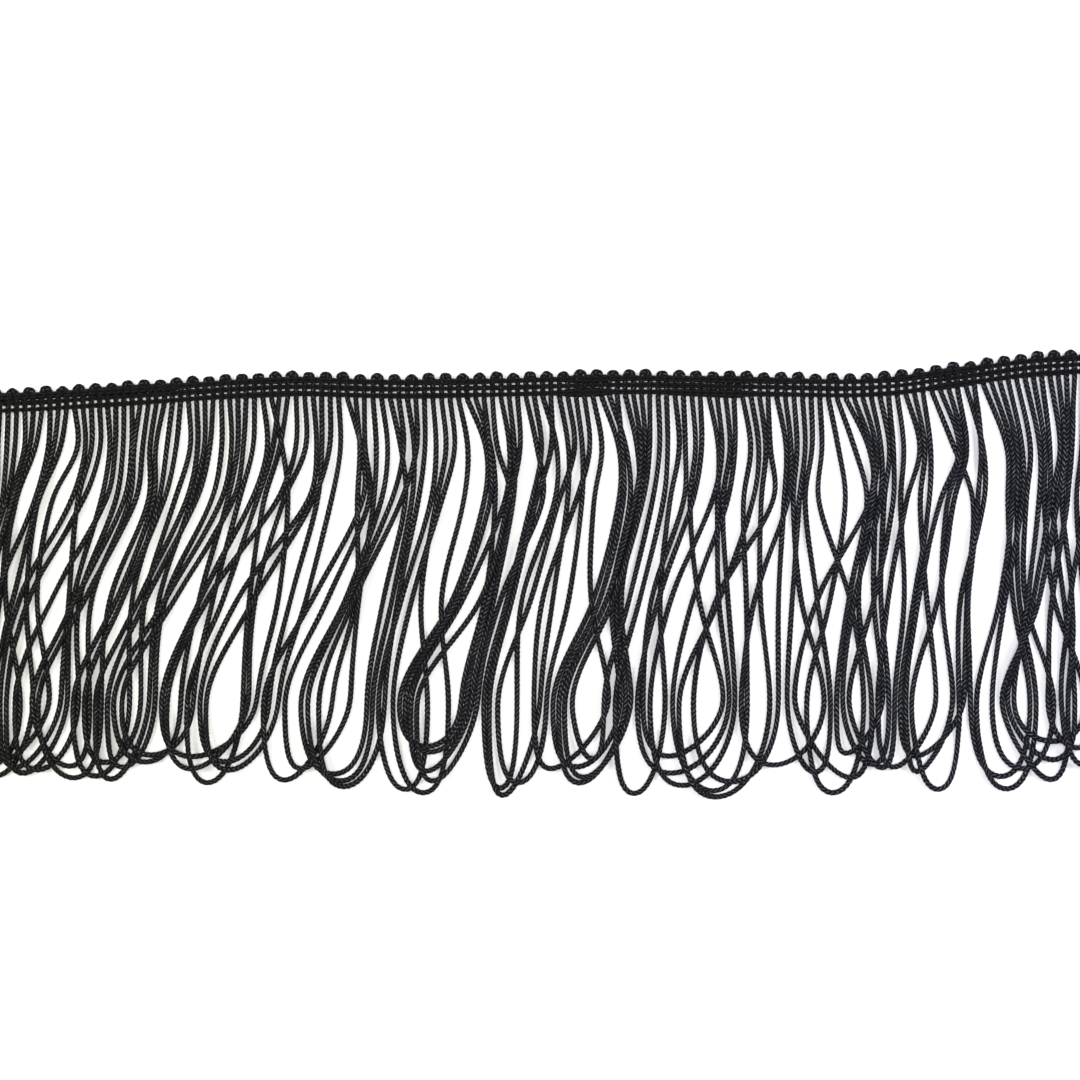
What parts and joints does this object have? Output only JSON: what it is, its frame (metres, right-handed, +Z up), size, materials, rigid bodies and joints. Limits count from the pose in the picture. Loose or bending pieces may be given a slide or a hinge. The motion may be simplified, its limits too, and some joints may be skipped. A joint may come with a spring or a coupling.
{
  "type": "length of looped fringe trim",
  "caption": "Cut length of black looped fringe trim lying flat: a narrow chain-stitch heading with a picot edge, from which long loops of chainette cord hang in loose bunches and bows",
  "frame": {"origin": "On the surface that the trim lies on, under the middle of its bounding box.", "axes": "+X runs along the heading towards the right-hand cut end, as seen from above. +Y points across the trim from the bows of the loops to the picot edge. +Z points up from the surface."},
  "size_m": [0.429, 0.1614, 0.011],
  "materials": {
    "heading_yarn": "matt black viscose yarn, chain stitched",
    "fringe_cord": "black viscose chainette cord with a soft sheen"
  },
  "bodies": {
    "root": {"picot_row": "heading_yarn", "middle_row": "heading_yarn", "fringe_row": "fringe_cord"}
  },
  "joints": []
}
